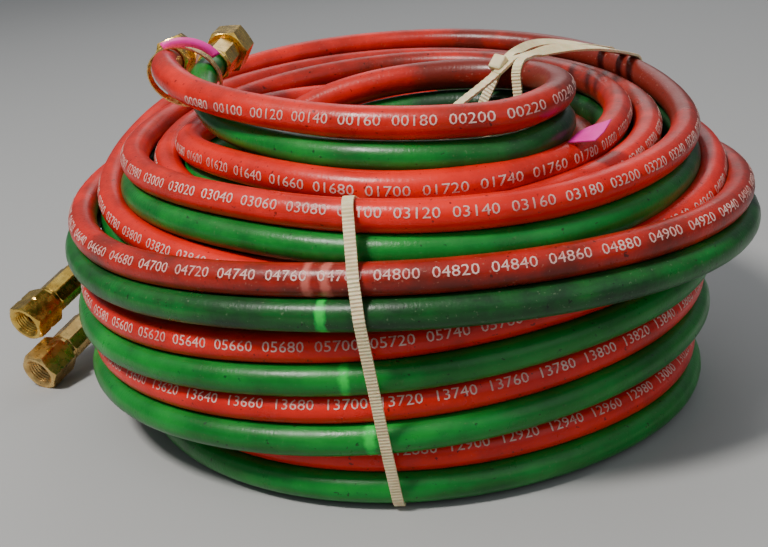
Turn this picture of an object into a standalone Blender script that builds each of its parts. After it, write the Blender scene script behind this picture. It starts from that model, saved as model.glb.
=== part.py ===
"""Coiled twin gas hose: a red and a green welding hose run side by side, wound into one
pile, tied with nylon straps, with a swivel nut fitting on each of the four hose ends.

Metres, +Z up.  The pile's own axis is the frame that the route points are written in;
at the end the whole set is moved so that the middle of its footprint is the origin.
"""
import math

import bmesh
import bpy
from mathutils import Matrix, Vector

# ---------------------------------------------------------------- driving dimensions
GAP = 0.0003                # clearance between touching pieces

# hose
HOSE_D = 0.0127             # outside diameter of each hose
HOSE_BORE = 0.0076          # bore of the hose end that the barbed tail fills

# pile of wound rows: green below red in every pair
ROW_COUNT = 10
ROW_PITCH = 0.0121          # rows sink a little into each other
PILE_R_OUT = 0.136          # outer radius of the six lower rows
PILE_WIDTH = 0.052          # from there in to the hole
RED_INSET = 0.003           # red turns lie a little further in than the green ones
SHOULDER_ROWS = 6           # rows from here up are narrower
SHOULDER_STEP = 0.008
TOP_ROWS = 8                # the last pair is narrower again
TOP_STEP = 0.002
TOP_WIDTH = 0.034
BACK_RISE = 0.018           # how much higher the top row lies at the back than in front
RING_STEPS = 32
FACET_SHARE = math.cos(math.pi / RING_STEPS)   # a ring's flats against its corners
ROW_END_STEPS = 3

# loose outer turn round the shoulder rows, closest to them in front
LOOSE_SHIFT_Y = 0.014
LOOSE_CLEARANCE = 0.00165

# nylon cable ties: azimuth of each loop about the pile's axis
TIE_T = 0.0012
TIE_W = 0.0048
TIE_HEAD = (0.0085, 0.0070, 0.0056)
TIE_HEAD_BEVEL = 0.0008
HEAD_HEIGHT = 0.060
FRONT_TIE_AZIMUTH = -95.0
BACK_TIE_AZIMUTHS = (58.0, 51.0, 44.0)

# swivel nut fittings
NUT_AF = 0.01905            # across flats
NUT_LEN = 0.018
NUT_CHAMFER = 0.0011
NUT_BORE = 0.0129           # thread bore, left plain here
NUT_COUNTERSINK = 0.0014
NUT_WALL = 0.0042           # back wall that the nipple turns in
NUT_GROOVE = 0.0012         # groove round the corners of a left-hand nut
NUT_GROOVE_FLOOR = 0.0004   # what the groove leaves of the corners, over the flats
NUT_RIM_IN = 0.0003         # how far the chamfers run in past the flats
CUT_SPARE = 0.001           # how far a cutter reaches past what it cuts
SHANK_D = 0.0095
NOSE_D = 0.0118
NOSE_TIP_D = 0.0066
NOSE_LEN = 0.0070
NIPPLE_BORE = 0.0046
COLLAR_D = 0.0150
COLLAR_LEN = 0.0024
BARB_D = 0.0070
BARB_ROOT_D = 0.0058
BARB_COUNT = 3
TAIL_LEN = 0.020
FERRULE_WALL = 0.0016
FERRULE_FLATS = 8
FERRULE_FLAT_DEPTH = 0.0006
HOSE_END_LEN = 0.024
FERRULE_LEN = 0.0225
ROUND_STEPS = 20

# brass-coloured band round the upper hose ends, tape on it, and a tape tag
BAND_T = 0.0005
BAND_W = 0.0070
BAND_RADII = (0.0166, 0.0126)
BAND_BACK = 0.0335          # how far behind the hose's cut end the band sits
BAND_DROP = 0.0034          # the loose band hangs from the hoses' upper sides
TAPE_T = 0.0003
TAPE_SPAN = (43.0, 134.0)
BAND_STEPS = 28
TAPE_STEPS = 8
TAG_T = 0.0004
# corners of the tag: azimuth, and how far in from the top row's outer radius
TAG_CORNERS = ((-31.1, 0.0233), (-48.5, 0.0112), (-54.1, 0.0186), (-38.3, 0.0292))

# ---------------------------------------------------------------- placed fittings

def beside_pile(azimuth, beyond, height):
    """A point so far outside the lower rows, at an azimuth in degrees."""
    angle = math.radians(azimuth)
    reach = PILE_R_OUT + beyond
    return Vector((reach * math.cos(angle), reach * math.sin(angle), height))


# where the cut face of each hose end lies, and which way its nut points
LOWER_RED_END = beside_pile(168.3, 0.0570, 0.0365)
LOWER_GREEN_END = beside_pile(172.2, 0.0472, 0.0148)
LOWER_AIM = Vector((-0.43, -0.86, -0.27))
UPPER_RED_END = Vector((-0.1047, 0.0325, 0.1580))
UPPER_RED_AIM = Vector((-0.08, 0.99, -0.06))
UPPER_GREEN_END = Vector((-0.0827, 0.0415, 0.1570))
UPPER_GREEN_AIM = Vector((0.10, 0.985, 0.10))
# how far each nut happens to be turned, in degrees; at 30 a flat lies underneath
NUT_TURNS = {"lower_red": 43.0, "lower_green": 30.0, "upper_red": 12.0, "upper_green": 30.0}

# ---------------------------------------------------------------- hose routes
# Points chosen by hand along each free stretch, between a fitting and the pile.
RED_TOP_ROUTE = (
    (-0.0985, -0.0165, 0.1585), (-0.0855, -0.0375, 0.1538), (-0.0640, -0.0600, 0.1505),
    (-0.0350, -0.0800, 0.1475), (-0.0110, -0.0920, 0.1463), (0.0190, -0.0970, 0.1454),
    (0.0430, -0.0930, 0.1452), (0.0610, -0.0770, 0.1471), (0.0665, -0.0520, 0.1485),
    (0.0600, -0.0290, 0.1495), (0.0450, -0.0140, 0.1503), (0.0210, -0.0080, 0.1506),
    (-0.0050, -0.0100, 0.1490), (-0.0270, -0.0130, 0.1448), (-0.0470, -0.0165, 0.1375),
    (-0.0650, -0.0225, 0.1300), (-0.0856, -0.0304, 0.1240),
)
GREEN_TOP_ROUTE = (
    (-0.0860, -0.0085, 0.1495), (-0.0770, -0.0330, 0.1410), (-0.0600, -0.0560, 0.1365),
    (-0.0350, -0.0790, 0.1338), (-0.0110, -0.0920, 0.1331), (0.0190, -0.0970, 0.1322),
    (0.0430, -0.0930, 0.1320), (0.0610, -0.0770, 0.1339), (0.0665, -0.0520, 0.1352),
    (0.0600, -0.0290, 0.1362), (0.0450, -0.0140, 0.1368), (0.0210, -0.0080, 0.1370),
    (-0.0050, -0.0100, 0.1350), (-0.0270, -0.0130, 0.1300), (-0.0470, -0.0165, 0.1220),
    (-0.0650, -0.0225, 0.1145), (-0.0856, -0.0304, 0.1103),
)
# the lower ends: azimuth, distance outside the lower rows, height
RED_TAIL_ROUTE = (
    (152.6, 0.0554, 0.0485), (144.6, 0.0537, 0.0535), (135.7, 0.0443, 0.0565),
    (125.9, 0.0310, 0.0555), (114.7, 0.0150, 0.0525), (102.9, 0.0023, 0.0496),
)
GREEN_TAIL_ROUTE = (
    (154.6, 0.0456, 0.0265), (146.4, 0.0465, 0.0310), (136.3, 0.0426, 0.0345),
    (126.0, 0.0315, 0.0375), (115.1, 0.0175, 0.0380), (102.9, 0.0054, 0.0362),
)
TUBE_STEP = 0.027           # spacing of a tube's points

# ---------------------------------------------------------------- finishes
FINISHES = {
    "red_rubber": ((0.60, 0.045, 0.030, 1.0), 0.50, 0.0),
    "green_rubber": ((0.010, 0.165, 0.045, 1.0), 0.48, 0.0),
    "brass": ((0.72, 0.53, 0.22, 1.0), 0.34, 1.0),
    "nylon": ((0.80, 0.72, 0.52, 1.0), 0.42, 0.0),
    "band_metal": ((0.62, 0.47, 0.24, 1.0), 0.40, 1.0),
    "pink_tape": ((0.86, 0.10, 0.52, 1.0), 0.60, 0.0),
}

# ---------------------------------------------------------------- scene helpers
for old in list(bpy.data.objects):
    bpy.data.objects.remove(old, do_unlink=True)

scene = bpy.context.scene
part_collection = bpy.data.collections.new("twin_welding_hose_coil")
cutter_collection = bpy.data.collections.new("cutters")
scene.collection.children.link(part_collection)
scene.collection.children.link(cutter_collection)

footprint = bpy.data.objects.new("footprint_centre", None)
part_collection.objects.link(footprint)


def make_finish(name):
    colour, roughness, metallic = FINISHES[name]
    finish = bpy.data.materials.new(name)
    finish.use_nodes = True
    shader = finish.node_tree.nodes["Principled BSDF"]
    shader.inputs["Base Color"].default_value = colour
    shader.inputs["Roughness"].default_value = roughness
    shader.inputs["Metallic"].default_value = metallic
    finish.diffuse_color = colour
    return finish


finishes = {name: make_finish(name) for name in FINISHES}


def add_part(name, data, finish, matrix=None):
    """A sub-part: its own object, its own node, carried by the footprint empty."""
    piece = bpy.data.objects.new(name, data)
    part_collection.objects.link(piece)
    piece.parent = footprint
    piece.matrix_world = matrix or Matrix.Identity(4)
    data.materials.clear()
    data.materials.append(finishes[finish])
    return piece


def add_cutter(name, data, matrix=None):
    cutter = bpy.data.objects.new(name, data)
    cutter_collection.objects.link(cutter)
    cutter.parent = footprint
    cutter.matrix_world = matrix or Matrix.Identity(4)
    cutter.hide_render = True
    cutter.display_type = "WIRE"
    return cutter


def wire_mesh(name, points, closed):
    """A chain of edges: the profile that Screw turns."""
    form = bmesh.new()
    verts = [form.verts.new(point) for point in points]
    for first, second in zip(verts, verts[1:]):
        form.edges.new((first, second))
    if closed:
        form.edges.new((verts[-1], verts[0]))
    mesh = bpy.data.meshes.new(name)
    form.to_mesh(mesh)
    form.free()
    return mesh


def add_screw(piece, steps):
    turn = piece.modifiers.new("turn", "SCREW")
    turn.axis = "Z"
    turn.angle = math.tau
    turn.steps = steps
    turn.render_steps = steps
    turn.use_merge_vertices = True
    turn.merge_threshold = 0.00001
    turn.use_smooth_shade = True
    return turn


def add_boolean(piece, cutter, operation):
    cut = piece.modifiers.new(cutter.name, "BOOLEAN")
    cut.operation = operation
    cut.object = cutter
    cut.solver = "EXACT"
    return cut


def profile_mesh(name, outline, closed=True):
    """outline: (radius, height) pairs, down the outer side first."""
    return wire_mesh(name, [(radius, 0.0, height) for radius, height in outline], closed)


def aim_matrix(place, aim):
    """Local +Z along aim, at place."""
    turn = aim.normalized().to_track_quat("Z", "Y").to_matrix().to_4x4()
    return Matrix.Translation(place) @ turn


# ---------------------------------------------------------------- wound rows
PILE_R_IN = PILE_R_OUT - PILE_WIDTH
SHOULDER_R_OUT = PILE_R_OUT - SHOULDER_STEP
TOP_R_OUT = SHOULDER_R_OUT - TOP_STEP
ROW_HEIGHT = ROW_PITCH - GAP
FLOOR_GAP = TIE_T + GAP     # the pile stands on the straps that pass under it
FULL_LEAN = math.asin(BACK_RISE / (2.0 * PILE_R_OUT))


def row_front_height(row):
    return FLOOR_GAP + (row + 0.5) * ROW_PITCH - 0.5 * GAP


def row_lean(row):
    return FULL_LEAN * row / (ROW_COUNT - 1)


def row_radii(row):
    inset = RED_INSET * (row % 2)
    if row >= TOP_ROWS:
        return TOP_R_OUT - TOP_WIDTH, TOP_R_OUT - inset
    if row >= SHOULDER_ROWS:
        return PILE_R_IN, SHOULDER_R_OUT - inset
    return PILE_R_IN, PILE_R_OUT - inset


def leaning_matrix(front_height, lean, shift_y=0.0):
    """A level ring's frame, leaned about the line that touches the pile in front."""
    hinge = Vector((0.0, -PILE_R_OUT, front_height))
    tilt = Matrix.Rotation(lean, 4, "X")
    return Matrix.Translation(hinge) @ tilt @ Matrix.Translation((0.0, PILE_R_OUT + shift_y, 0.0))


def row_outline(inner, outer, height):
    """A flat-sided ring section with round inner and outer ends."""
    half = 0.5 * height
    outline = []
    for step in range(ROW_END_STEPS + 1):
        angle = math.radians(90.0 - 180.0 * step / ROW_END_STEPS)
        outline.append((outer - half + half * math.cos(angle), half * math.sin(angle)))
    for step in range(ROW_END_STEPS + 1):
        angle = math.radians(270.0 - 180.0 * step / ROW_END_STEPS)
        outline.append((inner + half + half * math.cos(angle), half * math.sin(angle)))
    return outline


def build_rows():
    for row in range(ROW_COUNT):
        colour = "red" if row % 2 else "green"
        name = f"{colour}_coil_row_{row // 2 + 1}"
        inner, outer = row_radii(row)
        mesh = profile_mesh(name, row_outline(inner, outer, ROW_HEIGHT))
        matrix = leaning_matrix(row_front_height(row), row_lean(row))
        add_screw(add_part(name, mesh, f"{colour}_rubber", matrix), RING_STEPS)


# ---------------------------------------------------------------- loose outer turn
LOOSE_SIDES = 10
LOOSE_R = SHOULDER_R_OUT + 0.5 * HOSE_D + LOOSE_SHIFT_Y + LOOSE_CLEARANCE
LOOSE_LEAN = row_lean(SHOULDER_ROWS)
LOOSE_GREEN_HEIGHT = row_front_height(SHOULDER_ROWS) + 0.5 * (HOSE_D - ROW_HEIGHT)


def loose_heights():
    return {"green": LOOSE_GREEN_HEIGHT, "red": LOOSE_GREEN_HEIGHT + HOSE_D + GAP}


def build_loose_turn():
    radius = 0.5 * HOSE_D
    outline = []
    for step in range(LOOSE_SIDES):
        angle = math.radians(90.0) - math.tau * step / LOOSE_SIDES
        outline.append((LOOSE_R + radius * math.cos(angle), radius * math.sin(angle)))
    for colour, height in loose_heights().items():
        mesh = profile_mesh(f"{colour}_loose_turn", outline)
        matrix = leaning_matrix(height, LOOSE_LEAN, LOOSE_SHIFT_Y)
        add_screw(add_part(f"{colour}_loose_turn", mesh, f"{colour}_rubber", matrix), RING_STEPS)


# ---------------------------------------------------------------- free hose stretches
def catmull(before, start, end, after, share):
    square, cube = share * share, share * share * share
    return 0.5 * (
        2.0 * start
        + (end - before) * share
        + (2.0 * before - 5.0 * start + 4.0 * end - after) * square
        + (3.0 * start - before - 3.0 * end + after) * cube
    )


def smooth_route(points, step):
    """Even points along the smooth curve through a route's own points."""
    chain = [2.0 * points[0] - points[1]] + points + [2.0 * points[-1] - points[-2]]
    fine = []
    for index in range(1, len(chain) - 2):
        for part in range(20):
            fine.append(catmull(*chain[index - 1:index + 3], part / 20.0))
    fine.append(points[-1])
    travelled = [0.0]
    for first, second in zip(fine, fine[1:]):
        travelled.append(travelled[-1] + (second - first).length)
    count = max(3, round(travelled[-1] / step))
    even = []
    index = 0
    for number in range(count + 1):
        target = travelled[-1] * number / count
        while index < len(fine) - 2 and travelled[index + 1] < target:
            index += 1
        span = travelled[index + 1] - travelled[index]
        even.append(fine[index].lerp(fine[index + 1], (target - travelled[index]) / span))
    return even


def build_tube(name, colour, cut_face, aim, route):
    """A hose stretch that starts square behind its bored hose end."""
    back = -aim.normalized()
    start = cut_face + back * (HOSE_END_LEN + GAP)
    lead = start + back * HOSE_D
    points = [start] + smooth_route([lead] + route, TUBE_STEP)
    curve = bpy.data.curves.new(name, "CURVE")
    curve.dimensions = "3D"
    curve.bevel_depth = 0.5 * HOSE_D
    curve.bevel_resolution = 2
    curve.use_fill_caps = True
    spline = curve.splines.new("POLY")
    spline.points.add(len(points) - 1)
    for target, point in zip(spline.points, points):
        target.co = (*point, 1.0)
    add_part(name, curve, f"{colour}_rubber")


# ---------------------------------------------------------------- fittings
FERRULE_BORE = HOSE_D + 2.0 * GAP
FERRULE_D = FERRULE_BORE + 2.0 * FERRULE_WALL
COLLAR_START = GAP
NUT_BACK = COLLAR_START + COLLAR_LEN + GAP
NUT_FRONT = NUT_BACK + NUT_LEN
HEAD_START = NUT_BACK + NUT_WALL + GAP
NOSE_START = HEAD_START + 0.0015
NOSE_TIP = NOSE_START + NOSE_LEN


def nipple_outline():
    """Barbed tail, collar, shank and coned nose, bored right through."""
    outline = [
        (0.5 * NOSE_TIP_D, NOSE_TIP),
        (0.5 * NOSE_D, NOSE_START),
        (0.5 * NOSE_D, HEAD_START),
        (0.5 * SHANK_D, HEAD_START),
        (0.5 * SHANK_D, COLLAR_START + COLLAR_LEN),
        (0.5 * COLLAR_D, COLLAR_START + COLLAR_LEN),
        (0.5 * COLLAR_D, COLLAR_START),
    ]
    barb = TAIL_LEN / BARB_COUNT
    for number in range(BARB_COUNT):
        outline.append((0.5 * BARB_ROOT_D, COLLAR_START - number * barb))
        outline.append((0.5 * BARB_D, COLLAR_START - number * barb - 0.25 * barb))
    outline.append((0.5 * BARB_ROOT_D, COLLAR_START - TAIL_LEN))
    outline.append((0.5 * NIPPLE_BORE, COLLAR_START - TAIL_LEN))
    outline.append((0.5 * NIPPLE_BORE, NOSE_TIP))
    return outline


NUT_CORNER = 0.5 * NUT_AF / math.cos(math.radians(30.0))


def nut_blank():
    """Hexagon bar of the nut's length."""
    form = bmesh.new()
    place = Matrix.Translation((0.0, 0.0, NUT_BACK + 0.5 * NUT_LEN))
    bmesh.ops.create_cone(form, cap_ends=True, segments=6, radius1=NUT_CORNER,
                          radius2=NUT_CORNER, depth=NUT_LEN, matrix=place)
    mesh = bpy.data.meshes.new("nut")
    form.to_mesh(mesh)
    form.free()
    return mesh


def nut_chamfer_outline():
    """Round bar that takes the corners off both ends of the hexagon."""
    reach = NUT_CORNER + CUT_SPARE
    rim = 0.5 * NUT_AF - NUT_RIM_IN
    rise = NUT_CHAMFER * (reach - rim) / (NUT_CORNER - rim)
    return [
        (0.0, NUT_FRONT), (rim, NUT_FRONT), (reach, NUT_FRONT - rise),
        (reach, NUT_BACK + rise), (rim, NUT_BACK), (0.0, NUT_BACK),
    ]


def nut_bore_outline():
    """Thread bore from the mouth, seat, and the hole that the shank turns in."""
    seat = NUT_BACK + NUT_WALL
    mouth = NUT_FRONT + CUT_SPARE
    shank_hole = 0.5 * SHANK_D + GAP
    flare = 0.5 * NUT_BORE + NUT_COUNTERSINK
    return [
        (0.0, mouth), (flare, mouth), (flare, NUT_FRONT),
        (0.5 * NUT_BORE, NUT_FRONT - NUT_COUNTERSINK),
        (0.5 * NUT_BORE, seat), (shank_hole, seat), (shank_hole, NUT_BACK - CUT_SPARE),
        (0.0, NUT_BACK - CUT_SPARE),
    ]


def nut_groove_outline():
    middle = NUT_BACK + 0.5 * NUT_LEN
    floor = 0.5 * NUT_AF + NUT_GROOVE_FLOOR
    reach = NUT_CORNER + CUT_SPARE
    return [
        (reach, middle + NUT_GROOVE), (reach, middle - NUT_GROOVE), (floor, middle),
    ]


def ferrule_outline():
    outer = 0.5 * FERRULE_D
    inner = 0.5 * FERRULE_BORE
    back = -FERRULE_LEN
    return [
        (outer - 0.0007, 0.0), (outer, -0.0007), (outer, back + 0.0035),
        (outer - 0.0006, back + 0.0030), (outer - 0.0006, back + 0.0007),
        (outer - 0.0010, back), (inner, back), (inner, 0.0),
    ]


def hose_end_outline():
    outer = 0.5 * HOSE_D
    bore = 0.5 * HOSE_BORE
    return [(outer, 0.0), (outer, -HOSE_END_LEN), (bore, -HOSE_END_LEN), (bore, 0.0)]


def build_fitting(end, colour, cut_face, aim, left_hand):
    """Hose end, ferrule, barbed nipple and swivel nut along one axis."""
    label = f"{end}_{colour}"
    axis = aim_matrix(cut_face, aim)

    hose_end = add_part(f"{label}_hose_end", profile_mesh("hose_end", hose_end_outline()),
                        f"{colour}_rubber", axis)
    add_screw(hose_end, ROUND_STEPS)

    ferrule = add_part(f"{label}_ferrule", profile_mesh("ferrule", ferrule_outline()),
                       "brass", axis)
    add_screw(ferrule, ROUND_STEPS)
    form = bmesh.new()
    flat = 0.5 * FERRULE_D - FERRULE_FLAT_DEPTH
    bmesh.ops.create_cone(form, cap_ends=True, segments=FERRULE_FLATS,
                          radius1=flat / math.cos(math.pi / FERRULE_FLATS),
                          radius2=flat / math.cos(math.pi / FERRULE_FLATS),
                          depth=2.0 * FERRULE_LEN,
                          matrix=Matrix.Translation((0.0, 0.0, -0.5 * FERRULE_LEN)))
    jaws = bpy.data.meshes.new("crimp_jaws")
    form.to_mesh(jaws)
    form.free()
    add_boolean(ferrule, add_cutter(f"{label}_crimp", jaws, axis), "INTERSECT")

    nipple = add_part(f"{label}_nipple", profile_mesh("nipple", nipple_outline()),
                      "brass", axis)
    add_screw(nipple, ROUND_STEPS)

    axis = axis @ Matrix.Rotation(math.radians(NUT_TURNS[label]), 4, "Z")
    nut = add_part(f"{label}_nut", nut_blank(), "brass", axis)
    for suffix, outline, operation, closed in (
        ("chamfer", nut_chamfer_outline(), "INTERSECT", False),
        ("bore", nut_bore_outline(), "DIFFERENCE", False),
        ("groove", nut_groove_outline(), "DIFFERENCE", True),
    ):
        if suffix == "groove" and not left_hand:
            continue
        cutter = add_cutter(f"{label}_{suffix}", profile_mesh(suffix, outline, closed), axis)
        add_screw(cutter, ROUND_STEPS)
        add_boolean(nut, cutter, operation)


# ---------------------------------------------------------------- straps
def convex_outline(points):
    """Convex hull of (u, v) points, anticlockwise."""
    ordered = sorted(set(points))

    def chain(sequence):
        side = []
        for point in sequence:
            while len(side) > 1:
                (ax, ay), (bx, by) = side[-2], side[-1]
                if (bx - ax) * (point[1] - ay) - (by - ay) * (point[0] - ax) > 0.0:
                    break
                side.pop()
            side.append(point)
        return side[:-1]

    return chain(ordered) + chain(ordered[::-1])


def disc_points(centre_r, centre_z, radius, sides=16):
    points = []
    for step in range(sides):
        angle = math.tau * (step + 0.5) / sides
        reach = radius / math.cos(math.pi / sides)
        points.append((round(centre_r + reach * math.cos(angle), 6),
                       round(centre_z + reach * math.sin(angle), 6)))
    return points


def leaned_height(front_height, lean, y):
    return front_height + (y + PILE_R_OUT) * math.tan(lean)


def pile_section(azimuth):
    """Discs that the pile's rows and the loose turn show where a tie goes round them."""
    slope_y = math.sin(azimuth)
    discs = []
    for row in range(ROW_COUNT):
        half = 0.5 * ROW_HEIGHT
        inner, outer = row_radii(row)
        for radius in (inner * FACET_SHARE + half, outer - half):
            height = leaned_height(row_front_height(row), row_lean(row), radius * slope_y)
            discs.append((radius, height, half))
    across = LOOSE_SHIFT_Y * slope_y
    reach = across + math.sqrt(LOOSE_R ** 2 - (LOOSE_SHIFT_Y * math.cos(azimuth)) ** 2)
    for height in loose_heights().values():
        level = leaned_height(height, LOOSE_LEAN, reach * slope_y)
        discs.append((reach, level, 0.5 * HOSE_D))
    return discs


def flat_plate(name, outlines, thickness):
    """A flat outline, with its holes, given its thickness, as a welded mesh."""
    curve = bpy.data.curves.new(name, "CURVE")
    curve.dimensions = "2D"
    curve.fill_mode = "BOTH"
    curve.extrude = 0.5 * thickness
    for outline in outlines:
        spline = curve.splines.new("POLY")
        spline.points.add(len(outline) - 1)
        for target, point in zip(spline.points, outline):
            target.co = (point[0], point[1], 0.0, 1.0)
        spline.use_cyclic_u = True
    shape = bpy.data.objects.new(name, curve)
    cutter_collection.objects.link(shape)
    depsgraph = bpy.context.evaluated_depsgraph_get()
    mesh = bpy.data.meshes.new_from_object(shape.evaluated_get(depsgraph))
    bpy.data.objects.remove(shape, do_unlink=True)
    form = bmesh.new()
    form.from_mesh(mesh)
    bmesh.ops.remove_doubles(form, verts=form.verts, dist=0.00001)
    bmesh.ops.recalc_face_normals(form, faces=form.faces)
    form.to_mesh(mesh)
    form.free()
    return mesh


def plane_matrix(middle, first, second):
    """Local X along first and local Y along second, at middle."""
    frame = Matrix((first, second, first.cross(second))).transposed().to_4x4()
    return Matrix.Translation(middle) @ frame


def tie_outline(discs, reach):
    points = []
    for radius, height, half in discs:
        points.extend(disc_points(radius, height, half + reach))
    return convex_outline(points)


def build_tie(name, azimuth_degrees):
    """A tie pulled tight: the convex outline of everything that it goes round."""
    azimuth = math.radians(azimuth_degrees)
    radial = Vector((math.cos(azimuth), math.sin(azimuth), 0.0))
    axis = plane_matrix(Vector((0.0, 0.0, 0.0)), radial, Vector((0.0, 0.0, 1.0)))
    discs = pile_section(azimuth)
    inside = tie_outline(discs, GAP)
    outside = tie_outline(discs, GAP + TIE_T)
    tie = add_part(name, flat_plate(name, (outside, inside), TIE_W), "nylon", axis)

    # ratchet head on the inner wall of the pile, standing into the hole
    wall = min(outside)[0]
    length, width, depth = TIE_HEAD
    form = bmesh.new()
    bmesh.ops.create_cube(form, size=1.0)
    bmesh.ops.scale(form, vec=(depth, length, width), verts=form.verts)
    bmesh.ops.bevel(form, geom=form.edges[:], offset=TIE_HEAD_BEVEL, segments=1,
                    affect="EDGES")
    head_mesh = bpy.data.meshes.new("tie_head")
    form.to_mesh(head_mesh)
    form.free()
    middle = Matrix.Translation((wall + 0.5 * TIE_T - 0.5 * depth, HEAD_HEIGHT, 0.0))
    head = add_cutter(f"{name}_head", head_mesh, axis @ middle)
    add_boolean(tie, head, "UNION")


def build_ties():
    build_tie("front_tie", FRONT_TIE_AZIMUTH)
    for number, azimuth in enumerate(BACK_TIE_AZIMUTHS):
        build_tie(f"back_tie_{number + 1}", azimuth)


# ---------------------------------------------------------------- band, tape and tag
def ellipse_arc(extra, span, steps):
    points = []
    for step in range(steps + 1):
        angle = math.radians(span[0] + (span[1] - span[0]) * step / steps)
        points.append(((BAND_RADII[0] + extra) * math.cos(angle),
                       (BAND_RADII[1] + extra) * math.sin(angle)))
    return points


def build_band():
    red = UPPER_RED_END - UPPER_RED_AIM.normalized() * BAND_BACK
    green = UPPER_GREEN_END - UPPER_GREEN_AIM.normalized() * BAND_BACK
    aim = (UPPER_RED_AIM + UPPER_GREEN_AIM).normalized()
    across = green - red
    across = (across - aim * across.dot(aim)).normalized()
    upright = across.cross(aim)
    axis = plane_matrix(0.5 * (red + green) - upright * BAND_DROP, across, upright)
    whole = (0.0, 360.0)
    ring = (ellipse_arc(BAND_T, whole, BAND_STEPS)[:-1], ellipse_arc(0.0, whole, BAND_STEPS)[:-1])
    add_part("hose_band", flat_plate("hose_band", ring, BAND_W), "band_metal", axis)
    under = BAND_T + GAP
    patch = ellipse_arc(under + TAPE_T, TAPE_SPAN, TAPE_STEPS)
    patch += ellipse_arc(under, TAPE_SPAN, TAPE_STEPS)[::-1]
    add_part("pink_tape", flat_plate("pink_tape", (patch,), BAND_W), "pink_tape", axis)


def build_tag():
    """A folded flag of tape that lies on the top row."""
    corners = []
    for azimuth, inside in TAG_CORNERS:
        angle = math.radians(azimuth)
        reach = TOP_R_OUT - inside
        corners.append((reach * math.cos(angle), reach * math.sin(angle)))
    middle_y = sum(y for _, y in corners) / len(corners)
    top = ROW_COUNT - 1
    height = leaned_height(row_front_height(top), row_lean(top), middle_y) + 0.5 * ROW_HEIGHT
    flag = flat_plate("tape_tag", ([(x, y - middle_y) for x, y in corners],), TAG_T)
    place = Matrix.Translation((0.0, middle_y, height + GAP + 0.5 * TAG_T))
    add_part("tape_tag", flag, "pink_tape", place @ Matrix.Rotation(row_lean(top), 4, "X"))


# ---------------------------------------------------------------- build
def move_to_footprint():
    """Origin at the middle of the footprint, on the floor."""
    bpy.context.view_layer.update()
    depsgraph = bpy.context.evaluated_depsgraph_get()
    corners = []
    for piece in part_collection.objects:
        if piece.type == "EMPTY":
            continue
        solid = piece.evaluated_get(depsgraph)
        shape = solid.to_mesh()
        corners.extend(solid.matrix_world @ vertex.co for vertex in shape.vertices)
        solid.to_mesh_clear()
    lows = [min(corner[axis] for corner in corners) for axis in range(3)]
    highs = [max(corner[axis] for corner in corners) for axis in range(3)]
    footprint.location = (-0.5 * (lows[0] + highs[0]), -0.5 * (lows[1] + highs[1]), -lows[2])
    bpy.context.view_layer.update()


build_rows()
build_loose_turn()
build_tube("red_top_loop", "red", UPPER_RED_END, UPPER_RED_AIM,
           [Vector(point) for point in RED_TOP_ROUTE])
build_tube("green_top_loop", "green", UPPER_GREEN_END, UPPER_GREEN_AIM,
           [Vector(point) for point in GREEN_TOP_ROUTE])
build_tube("red_tail", "red", LOWER_RED_END, LOWER_AIM,
           [beside_pile(*point) for point in RED_TAIL_ROUTE])
build_tube("green_tail", "green", LOWER_GREEN_END, LOWER_AIM,
           [beside_pile(*point) for point in GREEN_TAIL_ROUTE])
build_fitting("lower", "red", LOWER_RED_END, LOWER_AIM, left_hand=True)
build_fitting("lower", "green", LOWER_GREEN_END, LOWER_AIM, left_hand=False)
build_fitting("upper", "red", UPPER_RED_END, UPPER_RED_AIM, left_hand=True)
build_fitting("upper", "green", UPPER_GREEN_END, UPPER_GREEN_AIM, left_hand=False)
build_ties()
build_band()
build_tag()
move_to_footprint()
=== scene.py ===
"""Looks of a coiled twin welding hose: a red and a green hose side by side, wound into one
pile of about twenty turns, tied with nylon straps, with a swivel nut on each of the four ends.

Metres, +Z up.  Heights and radii of the winding are written in millimetres about the pile's
own axis; azimuth 180 is the left of the pile, 270 its front and 360 its right.
"""
import math

import bpy
import numpy as np
from mathutils import Matrix, Vector


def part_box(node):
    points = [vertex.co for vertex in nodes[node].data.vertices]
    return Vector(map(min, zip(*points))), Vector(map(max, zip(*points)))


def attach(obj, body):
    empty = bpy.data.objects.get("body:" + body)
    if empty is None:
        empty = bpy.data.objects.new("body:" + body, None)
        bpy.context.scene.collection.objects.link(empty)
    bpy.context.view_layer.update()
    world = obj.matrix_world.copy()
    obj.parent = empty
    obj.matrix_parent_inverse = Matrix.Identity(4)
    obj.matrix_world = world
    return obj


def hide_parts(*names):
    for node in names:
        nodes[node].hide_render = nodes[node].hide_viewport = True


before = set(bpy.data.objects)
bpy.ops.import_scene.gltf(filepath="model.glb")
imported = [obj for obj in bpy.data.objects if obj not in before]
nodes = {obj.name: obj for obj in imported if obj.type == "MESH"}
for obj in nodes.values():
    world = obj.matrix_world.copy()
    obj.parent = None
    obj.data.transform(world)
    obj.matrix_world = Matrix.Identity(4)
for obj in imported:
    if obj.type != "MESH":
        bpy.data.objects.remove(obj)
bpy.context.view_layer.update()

MM = 0.001
HOSE_D = 0.0127
HOSE_R = 0.5 * HOSE_D

lowest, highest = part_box("green_coil_row_1")
pile_axis = Vector((0.5 * (lowest.x + highest.x), 0.5 * (lowest.y + highest.y), 0.0))

# -------------------- camera
PICTURE_WIDTH = 768
FOCAL_PIXELS = 1100.0
SENSOR = 36.0
CAMERA_PLACE = Vector((0.006, -0.500, 0.231))
CAMERA_PITCH = math.radians(19.6)
CAMERA_YAW = math.radians(-2.0)
CAMERA_ROLL = math.radians(-4.5)


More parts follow.
